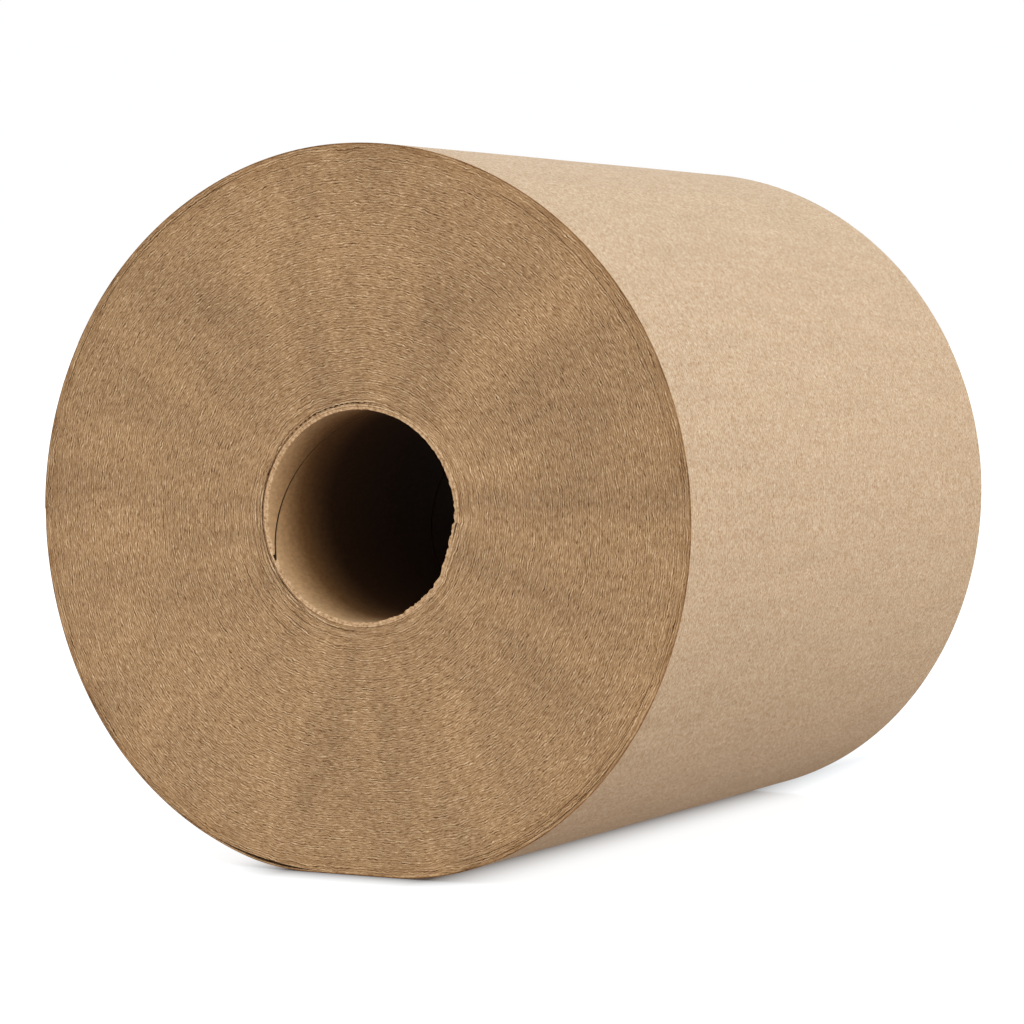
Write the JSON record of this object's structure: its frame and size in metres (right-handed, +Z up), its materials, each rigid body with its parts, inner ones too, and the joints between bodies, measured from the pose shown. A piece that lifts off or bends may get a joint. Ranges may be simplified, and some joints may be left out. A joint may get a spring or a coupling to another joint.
{
  "type": "paper towel roll",
  "caption": "Roll of natural kraft paper towel wound on a paperboard core, lying on its side on a small flat spot, with an open bore through the core for a spindle.",
  "frame": {"origin": "centre of the roll's footprint, on the surface that it lies on", "axes": "+Y along the roll's axis away from the end face that shows, +X to the right of that face, +Z up"},
  "size_m": [0.18, 0.2, 0.1788],
  "materials": {
    "kraft_paper": "soft matt creped paper",
    "core_board": "smooth matt paperboard"
  },
  "bodies": {
    "root": {"wound_paper": "kraft_paper", "core_tube": "core_board"}
  },
  "joints": []
}
